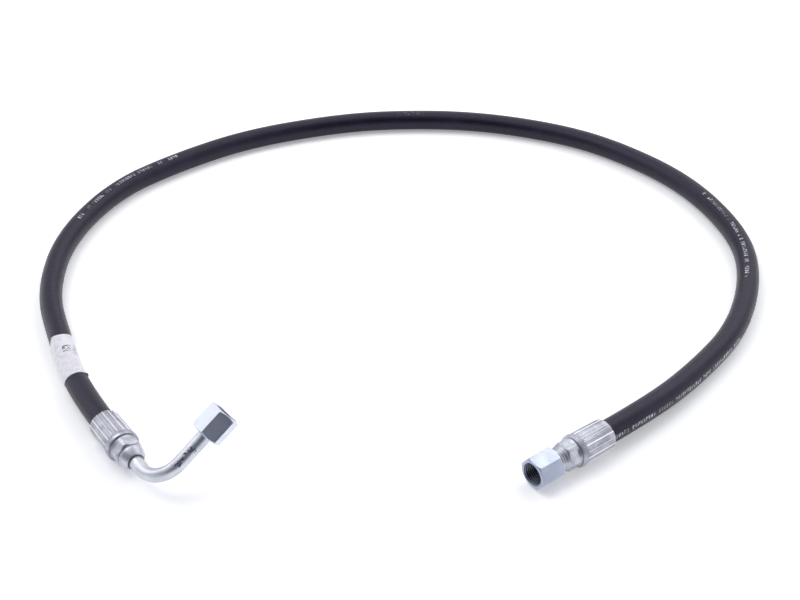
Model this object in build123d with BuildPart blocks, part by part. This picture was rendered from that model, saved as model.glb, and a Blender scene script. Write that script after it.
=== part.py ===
"""Hydraulic hose assembly: a one-wire-braid hose lying in an open loop on a flat surface.

One end has a straight female swivel and the other a raised 90 degree bent-tube female swivel.
Units are millimetres, +Z is up and the surface is Z = 0.
"""

import os
from math import cos, pi, radians, sin, tan

from build123d import *

# Hose layers, outer radius of each
LINER_BORE_R = 4.75
LINER_R = 6.35
BRAID_R = 7.0
COVER_R = 8.7

# Ferrule, crimped over the hose: stations are measured from the hose's cut end
FERRULE_MOUTH = -23.8
CRIMP_END = 3.2
FERRULE_END = 6.6
FERRULE_R = 12.0
CRIMP_MOUTH_R = 11.55
CRIMP_LANDS = 16
LIP_BORE_R = 6.6
HOSE_END_GAP = 0.5

# Stem: nipple inside the liner, then the wrench hexagon
PASSAGE_R = 3.5
NIPPLE_START = -22.8
NIPPLE_LEAD = 1.5
BARB_GROOVE_R = 4.3
BARB_GROOVE_WIDTH = 1.4
BARB_PITCH = 3.9
BARB_COUNT = 5
STEM_HEX_AF = 19.05
STEM_BODY_R = 10.45
HEX_SHOULDER = 8.0
HEX_END = 16.5

# Swivel nut, eleven-sixteenths 16 UN: stations are measured from its rear face
NUT_AF = 20.64
NUT_R = NUT_AF / 3**0.5
NUT_LENGTH = 20.4
NUT_REAR_R = 9.2
NUT_REAR_CHAMFER = 1.6
NUT_FRONT_R = 9.8
NUT_FRONT_CHAMFER = 1.2
NUT_SKIRT_BORE_R = 7.08
NUT_SKIRT = 8.4
NUT_RELIEF_R = 8.85
THREAD_START = 10.0
THREAD_MINOR_R = 7.87
THREAD_END = 19.6
NUT_MOUTH_R = 8.95
SEAT_FACE = 9.7

# Swivel head and the lock wire that holds the nut on it
SWIVEL_R = 7.0
SWIVEL_REAR = 0.4
WIRE_STATION = 5.0
WIRE_RING_R = 7.03
WIRE_R = 0.62
STEM_GROOVE_R = 6.35
NUT_GROOVE_R = 7.75
WIRE_GROOVE_WIDTH = 1.5

# Straight end
STRAIGHT_NUT_REAR = 22.8
STRAIGHT_NUT_ROLL = 24.0
STRAIGHT_HEX_ROLL = 32.0

# Elbow end
ELBOW_TILT = 35.0
TUBE_R = 5.0
TUBE_START = 17.0
SOCKET_END = 24.4
BEND_START = 32.7
BEND_R = 22.4
ELBOW_NUT_REAR = 23.8
TUBE_INTO_SEAT = 7.0
BRAZE_R = 5.9
BRAZE_DEPTH = 0.8
ELBOW_NUT_ROLL = 58.0
ELBOW_HEX_ROLL = 10.0

# Label wrapped round the cover
LABEL_R = 8.85
LABEL_START = 76.0
LABEL_END = 127.5

# Route of the hose's axis, from the elbow's cut end to the straight fitting's
FITTING_Z = FERRULE_R
FLOOR_Z = COVER_R
ROUTE = [
    (-191.9, -210, FITTING_Z),
    (-229, -157, FITTING_Z),
    (-256, -89, 9.0),
    (-276, -32, FLOOR_Z),
    (-277, 44, FLOOR_Z),
    (-248, 119, FLOOR_Z),
    (-202, 165, FLOOR_Z),
    (-142, 208, FLOOR_Z),
    (-68, 235, FLOOR_Z),
    (-9, 245, FLOOR_Z),
    (68, 243, FLOOR_Z),
    (143, 220, FLOOR_Z),
    (194, 188, FLOOR_Z),
    (247, 131, FLOOR_Z),
    (276, 58, FLOOR_Z),
    (278, -2, FLOOR_Z),
    (254, -77, FLOOR_Z),
    (210.5, -134.5, 9.2),
    (167.8, -179, FITTING_Z),
    (119.8, -216, FITTING_Z),
]
ARC_SHARE = 0.45

UP = Vector(0, 0, 1)


def corner_radii(points):
    """Largest tangent arc that each corner's two runs allow."""
    runs = [Vector(*b) - Vector(*a) for a, b in zip(points, points[1:])]
    radii = []
    for before, after in zip(runs, runs[1:]):
        shorter = min(before.length, after.length)
        radii.append(ARC_SHARE * shorter / tan(radians(before.get_angle(after) / 2)))
    return radii


def end_frame(cut_end, inboard, tilt):
    """Frame at a cut end: x runs out along the fitting, y is tilt degrees above the side."""
    outward = (Vector(*cut_end) - Vector(*inboard)).normalized()
    side = UP.cross(outward)
    lift = side * cos(radians(tilt)) + UP * sin(radians(tilt))
    return Plane(origin=Vector(*cut_end), x_dir=outward, z_dir=outward.cross(lift))


def across(frame, station):
    """Plane square to a frame's x axis, at a station along it."""
    origin = frame.from_local_coords(Vector(station, 0, 0))
    return Plane(origin=origin, x_dir=frame.y_dir, z_dir=frame.x_dir)


def turned(frame, *outline):
    """Face to be turned: an outline of (station, radius) points."""
    with BuildSketch(frame) as profile:
        with BuildLine():
            Polyline(*outline, close=True)
        make_face()
    return profile.sketch


def shaft(frame):
    """Axis that a frame's pieces are turned about."""
    return Axis(frame.origin, frame.x_dir)


def make_layer(outer, inner, path, start):
    """One layer of the hose, swept along its route."""
    with BuildPart() as layer:
        with BuildSketch(start):
            Circle(outer)
            Circle(inner, mode=Mode.SUBTRACT)
        sweep(path=path)
    return layer


def make_ferrule(frame):
    """Crimped ferrule: tapered lands round the hose, a smooth collar and an inturned lip."""
    with BuildPart() as ferrule:
        with BuildSketch(across(frame, FERRULE_MOUTH)):
            RegularPolygon(CRIMP_MOUTH_R, CRIMP_LANDS)
        with BuildSketch(across(frame, CRIMP_END)):
            RegularPolygon(FERRULE_R, CRIMP_LANDS)
        loft()
        collar = turned(
            frame,
            (CRIMP_END, 0),
            (CRIMP_END, FERRULE_R - 0.2),
            (CRIMP_END + 0.5, FERRULE_R),
            (FERRULE_END - 0.4, FERRULE_R - 0.25),
            (FERRULE_END, FERRULE_R - 0.6),
            (FERRULE_END, 0),
        )
        revolve(collar, axis=shaft(frame))
        bore = turned(
            frame,
            (FERRULE_MOUTH - 1, 0),
            (FERRULE_MOUTH - 1, COVER_R),
            (HOSE_END_GAP, COVER_R),
            (HOSE_END_GAP, LIP_BORE_R),
            (FERRULE_END + 1, LIP_BORE_R),
            (FERRULE_END + 1, 0),
        )
        revolve(bore, axis=shaft(frame), mode=Mode.SUBTRACT)
    return ferrule


def hex_trim(frame):
    """Turned envelope that trims the wrench hexagon's corners and chamfers its outer end."""
    return turned(
        frame,
        (HEX_SHOULDER, 0),
        (HEX_SHOULDER, STEM_BODY_R),
        (HEX_END - 1.1, STEM_BODY_R),
        (HEX_END, STEM_HEX_AF / 2 - 0.2),
        (HEX_END, 0),
    )


def nipple_outline(frame):
    """Barbed nipple, the collar that the ferrule's lip closes on and the round body."""
    points = [
        (NIPPLE_START, 0),
        (NIPPLE_START, BARB_GROOVE_R),
        (NIPPLE_START + NIPPLE_LEAD, LINER_BORE_R),
    ]
    for barb in range(BARB_COUNT):
        groove = NIPPLE_START + (barb + 1) * BARB_PITCH
        points.append((groove, LINER_BORE_R))
        points.append((groove, BARB_GROOVE_R))
        points.append((groove + BARB_GROOVE_WIDTH, LINER_BORE_R))
    points.append((HOSE_END_GAP, LINER_BORE_R))
    points.append((HOSE_END_GAP, LIP_BORE_R))
    points.append((FERRULE_END, LIP_BORE_R))
    points.append((FERRULE_END, STEM_BODY_R))
    points.append((HEX_SHOULDER, STEM_BODY_R))
    points.append((HEX_SHOULDER, 0))
    return turned(frame, *points)


def make_straight_stem(frame):
    """One-piece stem: nipple, hexagon, ringed neck and swivel head with a flat seat."""
    nut_rear = STRAIGHT_NUT_REAR
    wire = nut_rear + WIRE_STATION
    with BuildPart() as stem:
        with BuildSketch(across(frame, HEX_SHOULDER)):
            RegularPolygon(STEM_HEX_AF / 2, 6, major_radius=False, rotation=STRAIGHT_HEX_ROLL)
        extrude(amount=HEX_END - HEX_SHOULDER)
        revolve(hex_trim(frame), axis=shaft(frame), mode=Mode.INTERSECT)
        revolve(nipple_outline(frame), axis=shaft(frame))
        neck_and_head = turned(
            frame,
            (HEX_END, 0),
            (HEX_END, 9.2),
            (HEX_END + 1.6, 9.0),
            (HEX_END + 2.1, 8.4),
            (HEX_END + 3.4, 8.3),
            (HEX_END + 3.6, 7.9),
            (HEX_END + 4.3, 7.9),
            (HEX_END + 4.5, 8.6),
            (nut_rear - SWIVEL_REAR - 0.6, 8.6),
            (nut_rear - SWIVEL_REAR, 8.2),
            (nut_rear - SWIVEL_REAR, SWIVEL_R),
            (wire - WIRE_GROOVE_WIDTH / 2, SWIVEL_R),
            (wire - WIRE_GROOVE_WIDTH / 2, STEM_GROOVE_R),
            (wire + WIRE_GROOVE_WIDTH / 2, STEM_GROOVE_R),
            (wire + WIRE_GROOVE_WIDTH / 2, SWIVEL_R),
            (nut_rear + SEAT_FACE - 0.5, SWIVEL_R),
            (nut_rear + SEAT_FACE, SWIVEL_R - 0.5),
            (nut_rear + SEAT_FACE, 0),
        )
        revolve(neck_and_head, axis=shaft(frame))
        with BuildSketch(across(frame, NIPPLE_START - 1)):
            Circle(PASSAGE_R)
        extrude(amount=nut_rear + SEAT_FACE - NIPPLE_START + 2, mode=Mode.SUBTRACT)
    return stem


def make_elbow_stem(frame):
    """Stem whose domed boss is bored as a socket for the bent tube."""
    with BuildPart() as stem:
        with BuildSketch(across(frame, HEX_SHOULDER)):
            RegularPolygon(STEM_HEX_AF / 2, 6, major_radius=False, rotation=ELBOW_HEX_ROLL)
        extrude(amount=HEX_END - HEX_SHOULDER)
        revolve(hex_trim(frame), axis=shaft(frame), mode=Mode.INTERSECT)
        revolve(nipple_outline(frame), axis=shaft(frame))
        boss = turned(
            frame,
            (HEX_END, 0),
            (HEX_END, 8.3),
            (HEX_END + 0.8, 8.3),
            (HEX_END + 1.2, 9.4),
            (HEX_END + 1.8, 9.4),
            (HEX_END + 3.0, 9.1),
            (HEX_END + 4.6, 8.4),
            (HEX_END + 6.2, 7.5),
            (SOCKET_END, 6.5),
            (SOCKET_END, 0),
        )
        revolve(boss, axis=shaft(frame))
        with BuildSketch(across(frame, NIPPLE_START - 1)):
            Circle(PASSAGE_R)
        extrude(amount=TUBE_START - NIPPLE_START + 2, mode=Mode.SUBTRACT)
        socket = turned(
            frame,
            (TUBE_START, 0),
            (TUBE_START, TUBE_R),
            (SOCKET_END - BRAZE_DEPTH, TUBE_R),
            (SOCKET_END - BRAZE_DEPTH, BRAZE_R),
            (SOCKET_END + 1, BRAZE_R),
            (SOCKET_END + 1, 0),
        )
        revolve(socket, axis=shaft(frame), mode=Mode.SUBTRACT)
    return stem


def make_elbow_tube(frame):
    """Bent steel tube from the stem's socket round to the seat sleeve."""
    leg_end = BEND_R + ELBOW_NUT_REAR + TUBE_INTO_SEAT
    with BuildPart() as tube:
        with BuildLine(frame) as bend:
            FilletPolyline(
                (TUBE_START, 0),
                (BEND_START + BEND_R, 0),
                (BEND_START + BEND_R, leg_end),
                radius=BEND_R,
            )
        with BuildSketch(across(frame, TUBE_START)):
            Circle(TUBE_R)
            Circle(PASSAGE_R, mode=Mode.SUBTRACT)
        sweep(path=bend.wire())
    return tube


def make_braze_ring(frame, station):
    """Ring of braze metal in the mouth of a socket, round the tube."""
    with BuildPart() as braze:
        with BuildSketch(across(frame, station)):
            Circle(BRAZE_R)
            Circle(TUBE_R, mode=Mode.SUBTRACT)
        extrude(amount=BRAZE_DEPTH)
    return braze


def make_seat(nut_frame):
    """Flat-faced seat sleeve on the tube's end, with a groove for the lock wire."""
    rear = SWIVEL_REAR
    with BuildPart() as seat:
        body = turned(
            nut_frame,
            (rear, TUBE_R),
            (rear, SWIVEL_R),
            (WIRE_STATION - WIRE_GROOVE_WIDTH / 2, SWIVEL_R),
            (WIRE_STATION - WIRE_GROOVE_WIDTH / 2, STEM_GROOVE_R),
            (WIRE_STATION + WIRE_GROOVE_WIDTH / 2, STEM_GROOVE_R),
            (WIRE_STATION + WIRE_GROOVE_WIDTH / 2, SWIVEL_R),
            (SEAT_FACE - 0.5, SWIVEL_R),
            (SEAT_FACE, SWIVEL_R - 0.5),
            (SEAT_FACE, PASSAGE_R),
            (TUBE_INTO_SEAT, PASSAGE_R),
            (TUBE_INTO_SEAT, TUBE_R),
        )
        revolve(body, axis=shaft(nut_frame))
        with BuildSketch(across(nut_frame, rear)):
            Circle(BRAZE_R)
        extrude(amount=BRAZE_DEPTH, mode=Mode.SUBTRACT)
    return seat


def make_lock_wire(nut_frame):
    """Closed ring of hard wire, half in the head's groove and half in the nut's."""
    section = Plane(
        origin=nut_frame.from_local_coords(Vector(WIRE_STATION, WIRE_RING_R, 0)),
        x_dir=nut_frame.x_dir,
        z_dir=nut_frame.z_dir,
    )
    with BuildPart() as wire:
        with BuildSketch(section):
            Circle(WIRE_R)
        revolve(axis=shaft(nut_frame))
    return wire


def make_nut(frame, roll):
    """Hexagonal swivel nut: plain skirt bore with the wire groove, then the thread."""
    with BuildPart() as nut:
        with BuildSketch(across(frame, 0)):
            RegularPolygon(NUT_AF / 2, 6, major_radius=False, rotation=roll)
        extrude(amount=NUT_LENGTH)
        envelope = turned(
            frame,
            (0, 0),
            (0, NUT_REAR_R),
            (NUT_REAR_CHAMFER, NUT_R),
            (NUT_LENGTH - NUT_FRONT_CHAMFER, NUT_R),
            (NUT_LENGTH, NUT_FRONT_R),
            (NUT_LENGTH, 0),
        )
        revolve(envelope, axis=shaft(frame), mode=Mode.INTERSECT)
        bore = turned(
            frame,
            (-1, 0),
            (-1, NUT_SKIRT_BORE_R),
            (WIRE_STATION - WIRE_GROOVE_WIDTH / 2, NUT_SKIRT_BORE_R),
            (WIRE_STATION - WIRE_GROOVE_WIDTH / 2, NUT_GROOVE_R),
            (WIRE_STATION + WIRE_GROOVE_WIDTH / 2, NUT_GROOVE_R),
            (WIRE_STATION + WIRE_GROOVE_WIDTH / 2, NUT_SKIRT_BORE_R),
            (NUT_SKIRT, NUT_SKIRT_BORE_R),
            (NUT_SKIRT, NUT_RELIEF_R),
            (THREAD_START, NUT_RELIEF_R),
            (THREAD_START, THREAD_MINOR_R),
            (THREAD_END, THREAD_MINOR_R),
            (NUT_LENGTH, NUT_MOUTH_R),
            (NUT_LENGTH + 1, NUT_MOUTH_R),
            (NUT_LENGTH + 1, 0),
        )
        revolve(bore, axis=shaft(frame), mode=Mode.SUBTRACT)
    return nut


def make_label(path):
    """Band wrapped round the cover along one stretch of the hose."""
    stretch = path.trim(LABEL_START / path.length, LABEL_END / path.length)
    with BuildPart() as label:
        with BuildSketch(Plane(origin=stretch @ 0, z_dir=stretch % 0)):
            Circle(LABEL_R)
            Circle(COVER_R, mode=Mode.SUBTRACT)
        sweep(path=stretch)
    return label


# Hose
radii = corner_radii(ROUTE)
with BuildLine() as route_line:
    FilletPolyline(*ROUTE, radius=radii)
route_wire = route_line.wire()
first_run = Vector(*ROUTE[1]) - Vector(*ROUTE[0])
hose_start = Plane(origin=Vector(*ROUTE[0]), z_dir=first_run)

# Frames of the two ends and of the two nuts
elbow_end = end_frame(ROUTE[0], ROUTE[1], ELBOW_TILT)
straight_end = end_frame(ROUTE[-1], ROUTE[-2], 90)
straight_nut_frame = Plane(
    origin=straight_end.from_local_coords(Vector(STRAIGHT_NUT_REAR, 0, 0)),
    x_dir=straight_end.x_dir,
    z_dir=straight_end.z_dir,
)
elbow_nut_frame = Plane(
    origin=elbow_end.from_local_coords(Vector(BEND_START + BEND_R, BEND_R + ELBOW_NUT_REAR, 0)),
    x_dir=elbow_end.y_dir,
    z_dir=elbow_end.z_dir,
)

pieces = {
    "hose_inner_tube": make_layer(LINER_R, LINER_BORE_R, route_wire, hose_start),
    "wire_braid": make_layer(BRAID_R, LINER_R, route_wire, hose_start),
    "hose_cover": make_layer(COVER_R, BRAID_R, route_wire, hose_start),
    "hose_label": make_label(route_wire),
    "straight_ferrule": make_ferrule(straight_end),
    "straight_stem": make_straight_stem(straight_end),
    "straight_lock_wire": make_lock_wire(straight_nut_frame),
    "straight_swivel_nut": make_nut(straight_nut_frame, STRAIGHT_NUT_ROLL),
    "elbow_ferrule": make_ferrule(elbow_end),
    "elbow_stem": make_elbow_stem(elbow_end),
    "elbow_socket_braze": make_braze_ring(elbow_end, SOCKET_END - BRAZE_DEPTH),
    "elbow_tube": make_elbow_tube(elbow_end),
    "elbow_seat": make_seat(elbow_nut_frame),
    "elbow_seat_braze": make_braze_ring(elbow_nut_frame, SWIVEL_REAR),
    "elbow_lock_wire": make_lock_wire(elbow_nut_frame),
    "elbow_swivel_nut": make_nut(elbow_nut_frame, ELBOW_NUT_ROLL),
}

os.makedirs("parts", exist_ok=True)
for name, piece in pieces.items():
    piece.part.label = name
    export_step(piece.part, f"parts/{name}.step")

print("arc radii:", [round(radius) for radius in radii])
print("hose length:", round(route_wire.length, 1))
swept_volume = pi * (COVER_R**2 - BRAID_R**2) * route_wire.length
print("cover volume over section times length:", pieces["hose_cover"].part.volume / swept_volume)
for name, frame in (("straight", straight_nut_frame), ("elbow", elbow_nut_frame)):
    print(name, "nut rear", frame.origin, "axis", frame.x_dir)
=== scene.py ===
"""Visual model of the hydraulic hose assembly, in metres and in the CAD frame."""

from math import cos, pi, radians, sin

import bmesh
import bpy
import numpy as np
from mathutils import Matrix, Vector


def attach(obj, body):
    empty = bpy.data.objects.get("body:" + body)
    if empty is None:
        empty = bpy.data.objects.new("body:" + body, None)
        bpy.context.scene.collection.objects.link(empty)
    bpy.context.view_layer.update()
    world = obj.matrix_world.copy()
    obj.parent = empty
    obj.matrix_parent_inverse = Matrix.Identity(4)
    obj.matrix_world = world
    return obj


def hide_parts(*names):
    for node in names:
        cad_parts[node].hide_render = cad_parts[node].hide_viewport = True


MM = 0.001
UP = np.array([0.0, 0.0, 1.0])

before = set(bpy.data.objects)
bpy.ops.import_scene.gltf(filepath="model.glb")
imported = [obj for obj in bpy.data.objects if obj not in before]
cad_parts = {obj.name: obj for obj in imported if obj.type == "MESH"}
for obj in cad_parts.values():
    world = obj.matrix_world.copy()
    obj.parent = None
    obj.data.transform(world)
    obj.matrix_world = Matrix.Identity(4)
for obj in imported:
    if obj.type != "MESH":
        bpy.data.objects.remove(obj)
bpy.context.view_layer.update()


# ---------------------------------------------------------------- camera
CAMERA_PLACE = (-0.0015, -0.956, 0.6727)
CAMERA_TILT = 54.024
CAMERA_LENS = 65.76
CAMERA_SENSOR = 36.0


def make_camera():
    """The studio camera, looking straight ahead and down at the loop."""
    data = bpy.data.cameras.new("camera")
    data.sensor_width = CAMERA_SENSOR
    data.lens = CAMERA_LENS
    data.clip_start = 0.05
    camera = bpy.data.objects.new("camera", data)
    camera.location = CAMERA_PLACE
    camera.rotation_euler = (radians(CAMERA_TILT), 0, 0)
    bpy.context.scene.collection.objects.link(camera)
    bpy.context.scene.camera = camera


make_camera()

# ---------------------------------------------------------------- sizes, in millimetres
# Route of the hose's axis, from the elbow's cut end to the straight fitting's
ROUTE = [
    (-191.9, -210, 12),
    (-229, -157, 12),
    (-256, -89, 9.0),
    (-276, -32, 8.7),
    (-277, 44, 8.7),
    (-248, 119, 8.7),
    (-202, 165, 8.7),
    (-142, 208, 8.7),
    (-68, 235, 8.7),
    (-9, 245, 8.7),
    (68, 243, 8.7),
    (143, 220, 8.7),
    (194, 188, 8.7),
    (247, 131, 8.7),
    (276, 58, 8.7),
    (278, -2, 8.7),
    (254, -77, 8.7),
    (210.5, -134.5, 9.2),
    (167.8, -179, 12),
    (119.8, -216, 12),
]
ROUTE_STEPS = 24

LINER_BORE_R = 4.75
LINER_R = 6.35
BRAID_R = 7.0
COVER_R = 8.7

FERRULE_MOUTH = -23.8
CRIMP_END = 3.2
FERRULE_END = 6.6
FERRULE_R = 12.0
LIP_BORE_R = 6.6
HOSE_END_GAP = 0.5
CRIMP_LANDS = 16
CRIMP_MOUTH_R = 11.55

PASSAGE_R = 3.5
NIPPLE_START = -22.8
BARB_GROOVE_R = 4.3
BARB_GROOVE_WIDTH = 1.4
BARB_PITCH = 3.9
BARB_COUNT = 5
STEM_HEX_AF = 19.05
STEM_BODY_R = 10.45
HEX_SHOULDER = 8.0
HEX_END = 16.5

NUT_AF = 20.64
NUT_R = NUT_AF / 3**0.5
NUT_LENGTH = 20.4
NUT_REAR_R = 9.2
NUT_REAR_CHAMFER = 1.6
NUT_FRONT_R = 9.8
NUT_FRONT_CHAMFER = 1.2
NUT_SKIRT_BORE_R = 7.08
NUT_SKIRT = 8.4
NUT_RELIEF_R = 8.85
THREAD_START = 10.0
THREAD_END = 19.6
THREAD_MINOR_R = 7.87
THREAD_DEPTH = 0.86
THREAD_PITCH = 1.5875
NUT_MOUTH_R = 8.95
SEAT_FACE = 9.7

SWIVEL_R = 7.0
SWIVEL_REAR = 0.4
WIRE_STATION = 5.0
STEM_GROOVE_R = 6.35
NUT_GROOVE_R = 7.75
WIRE_GROOVE_WIDTH = 1.5

STRAIGHT_NUT_REAR = 22.8
STRAIGHT_NUT_ROLL = 24.0
STRAIGHT_HEX_ROLL = 32.0

ELBOW_TILT = 35.0
TUBE_R = 5.0
TUBE_START = 17.0
SOCKET_END = 24.4
BEND_START = 32.7
BEND_R = 22.4
ELBOW_NUT_REAR = 23.8
TUBE_INTO_SEAT = 7.0
BRAZE_R = 5.9
BRAZE_DEPTH = 0.8
ELBOW_NUT_ROLL = 58.0
ELBOW_HEX_ROLL = 10.0

LABEL_START = 76.0
LABEL_END = 127.5
LABEL_THICKNESS = 0.12

# Settings of the visual model: columns round a swept piece, and rings of the tube's legs
HOSE_COLUMNS = 72
LINING_COLUMNS = 40
TUBE_COLUMNS = 72
LEG_RINGS = 16
FOOT_RINGS = 12


# ---------------------------------------------------------------- frames
class Frame:
    """Origin and axes of a fitting: x runs out along it."""

    def __init__(self, origin, x, y):
        self.origin = np.array(origin, float)
        self.x = np.array(x, float)
        self.y = np.array(y, float)
        self.z = np.cross(self.x, self.y)

    def place(self, station, across, lift):
        """Points from distances along the three axes."""
        station, across, lift = (np.asarray(v, float)[..., None] for v in (station, across, lift))
        return self.origin + station * self.x + across * self.y + lift * self.z

    def moved(self, station, across=0.0):
        return Frame(self.origin + station * self.x + across * self.y, self.x, self.y)


def unit(v):
    v = np.asarray(v, float)
    return v / np.linalg.norm(v, axis=-1, keepdims=True)


def end_frame(cut_end, inboard, tilt):
    """Frame at a cut end of the hose: y is tilt degrees above the side."""
    outward = unit(np.subtract(cut_end, inboard))
    side = np.cross(UP, outward)
    return Frame(cut_end, outward, side * cos(radians(tilt)) + UP * sin(radians(tilt)))


straight_end = end_frame(ROUTE[-1], ROUTE[-2], 90)
straight_nut_frame = straight_end.moved(STRAIGHT_NUT_REAR)
elbow_end = end_frame(ROUTE[0], ROUTE[1], ELBOW_TILT)
elbow_nut_origin = elbow_end.moved(BEND_START + BEND_R, BEND_R + ELBOW_NUT_REAR).origin
elbow_nut_frame = Frame(elbow_nut_origin, elbow_end.y, -elbow_end.x)


# ---------------------------------------------------------------- meshes
def closed_grid(name, points, uv):
    """Mesh of a grid that closes on itself both ways. uv has one row and one column more."""
    rows, columns = points.shape[:2]
    index = np.arange(rows * columns).reshape(rows, columns)
    below = np.roll(index, -1, axis=0)
    faces = np.stack(
        [index, np.roll(index, -1, axis=1), np.roll(below, -1, axis=1), below], axis=-1
    ).reshape(-1, 4)
    corners = np.stack([uv[:-1, :-1], uv[:-1, 1:], uv[1:, 1:], uv[1:, :-1]], axis=2)
    return finished_mesh(name, points.reshape(-1, 3) * MM, faces, corners.reshape(-1, 2))


def finished_mesh(name, vertices, faces, corners):
    """Linked object with smooth faces, outward normals and a UV map in turns and metres."""
    mesh = bpy.data.meshes.new(name)
    mesh.from_pydata(vertices.tolist(), [], faces.tolist())
    layer = mesh.uv_layers.new(name="UVMap")
    layer.data.foreach_set("uv", corners.astype(np.float32).ravel())
    work = bmesh.new()
    work.from_mesh(mesh)
    bmesh.ops.recalc_face_normals(work, faces=work.faces)
    work.to_mesh(mesh)
    work.free()
    mesh.polygons.foreach_set("use_smooth", [True] * len(mesh.polygons))
    piece = bpy.data.objects.new(name, mesh)
    bpy.context.scene.collection.objects.link(piece)
    return piece


def eased(loop, sizes, steps=4):
    """Rows of a closed (station, radius) loop with each corner rounded by its size."""
    rows = []
    for here, back, ahead, size in zip(loop, np.roll(loop, 1, 0), np.roll(loop, -1, 0), sizes):
        if size == 0:
            rows.append(here)
            continue
        ends = []
        for other in (back, ahead):
            reach = np.maximum(np.linalg.norm(other - here, axis=-1, keepdims=True), 1e-9)
            ends.append(here + (other - here) * np.minimum(size / reach, 0.45))
        for t in np.linspace(0, 1, steps + 1):
            rows.append((1 - t) ** 2 * ends[0] + 2 * t * (1 - t) * here + t**2 * ends[1])
    return np.array(rows)


def lathe(name, axes, profile, angles, painted_light=None):
    """Hollow piece from a closed profile of (station, radius, ease), which may vary by angle.

    The optional function gives each (station, radius) a number that its metal reads: one where a
    highlight is painted bright, minus one where shade is painted dark.
    """
    blank = np.zeros(len(angles))
    loop = np.array([[station + blank, radius + blank] for station, radius, _ in profile])
    rows = eased(loop.transpose(0, 2, 1), [ease for _, _, ease in profile])
    station, radius = rows[..., 0], rows[..., 1]
    points = axes.place(station, radius * np.cos(angles), radius * np.sin(angles))
    turns = np.append(angles, angles[0] + 2 * pi) / (2 * pi)
    along = np.hstack([station, station[:, :1]]) * MM
    along = np.vstack([along, along[:1]])
    uv = np.stack([np.broadcast_to(turns, along.shape), along], axis=-1)
    piece = closed_grid(name, points, uv)
    # The number is kept on the mesh as painted highlight and painted shade for the metal's colour.
    if painted_light is not None:
        tone_shift = piece.data.attributes.new("painted_light", "FLOAT", "POINT")
        tone_shift.data.foreach_set("value", np.ravel(painted_light(station, radius)).astype(np.float32))
    normals = piece.modifiers.new("weighted_normals", "WEIGHTED_NORMAL")
    normals.weight = 80
    return piece


def spread_angles(roll, sides, offsets):
    """Angles in radians: the same offsets, in degrees, either side of each corner."""
    near = sorted({0.0, *offsets, *(-offset for offset in offsets)})
    step = 360 / sides
    return np.radians([roll + step * side + offset for side in range(sides) for offset in near])


def hexagon(angles, roll, across_flats):
    """Radius of a hexagon with slightly rounded corners, at each angle."""
    turned = np.degrees(angles)[:, None] - roll - 30 - 60 * np.arange(6)
    support = np.maximum(np.cos(np.radians(turned)), 0) ** 140
    return across_flats / 2 / support.sum(axis=1) ** (1 / 140)


# Degrees either side of each corner at which a hexagon has a row of points
HEX_OFFSETS = (0.35, 0.8, 1.4, 2.4, 4, 5, 5.6, 6, 7, 8.5, 11, 13.5, 16, 18.5, 21, 23.5, 26, 28)


# ---------------------------------------------------------------- nuts
def thread_radius(station, angles):
    """Radius of a right-hand internal sixty-degree thread."""
    phase = (station / THREAD_PITCH - angles / (2 * pi)) % 1
    slope = (abs(2 * phase - 1) - 0.25) / 0.625
    return THREAD_MINOR_R + THREAD_DEPTH * np.clip(slope, 0, 1)


def make_nut(name, axes, roll):
    """Swivel nut: chamfered hexagon, skirt bore with its wire groove, relief and thread."""
    angles = spread_angles(roll, 6, HEX_OFFSETS)
    flats = hexagon(angles, roll, NUT_AF)
    rear_rise = (flats - NUT_REAR_R) / (NUT_R - NUT_REAR_R)
    front_rise = (flats - NUT_FRONT_R) / (NUT_R - NUT_FRONT_R)
    groove = WIRE_GROOVE_WIDTH / 2
    profile = [
        (0, NUT_SKIRT_BORE_R, 0.25),
        (0, NUT_REAR_R, 0.3),
        (NUT_REAR_CHAMFER * rear_rise, flats, 0.25),
        (NUT_LENGTH - NUT_FRONT_CHAMFER * front_rise, flats, 0.2),
        (NUT_LENGTH, NUT_FRONT_R, 0.2),
        (NUT_LENGTH, NUT_MOUTH_R, 0.12),
    ]
    for station in np.arange(THREAD_END + 0.6, THREAD_START, -THREAD_PITCH / 14):
        mouth = NUT_MOUTH_R - (NUT_LENGTH - station) * 1.35
        profile.append((station, np.maximum(thread_radius(station, angles), mouth), 0))
    profile += [
        (THREAD_START, NUT_RELIEF_R, 0.1),
        (NUT_SKIRT, NUT_RELIEF_R, 0.15),
        (NUT_SKIRT, NUT_SKIRT_BORE_R, 0.1),
        (WIRE_STATION + groove, NUT_SKIRT_BORE_R, 0.08),
        (WIRE_STATION + groove, NUT_GROOVE_R, 0.08),
        (WIRE_STATION - groove, NUT_GROOVE_R, 0.08),
        (WIRE_STATION - groove, NUT_SKIRT_BORE_R, 0.08),
    ]

    # Painted shade: the bore and thread are darkened in the metal's colour, the thread's crests a
    # little less, as shade falls deep inside the nut.
    def painted_light(station, radius):
        bore = (station > 0.5) & (station < THREAD_END + 0.2) & (radius < NUT_RELIEF_R + 0.02)
        crest = np.clip(1 - (radius - THREAD_MINOR_R) / THREAD_DEPTH, 0, 1)
        return np.where(bore, -1 + 0.55 * crest * (station > THREAD_START), 0)

    return lathe(name, axes, profile, angles, painted_light)


# ---------------------------------------------------------------- ferrules
# Degrees either side of each ridge at which a ferrule has a row of points
RIDGE_OFFSETS = (0.5, 1.1, 1.8, 2.6, 3.6, 5.2, 7, 9, 10.8)


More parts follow.
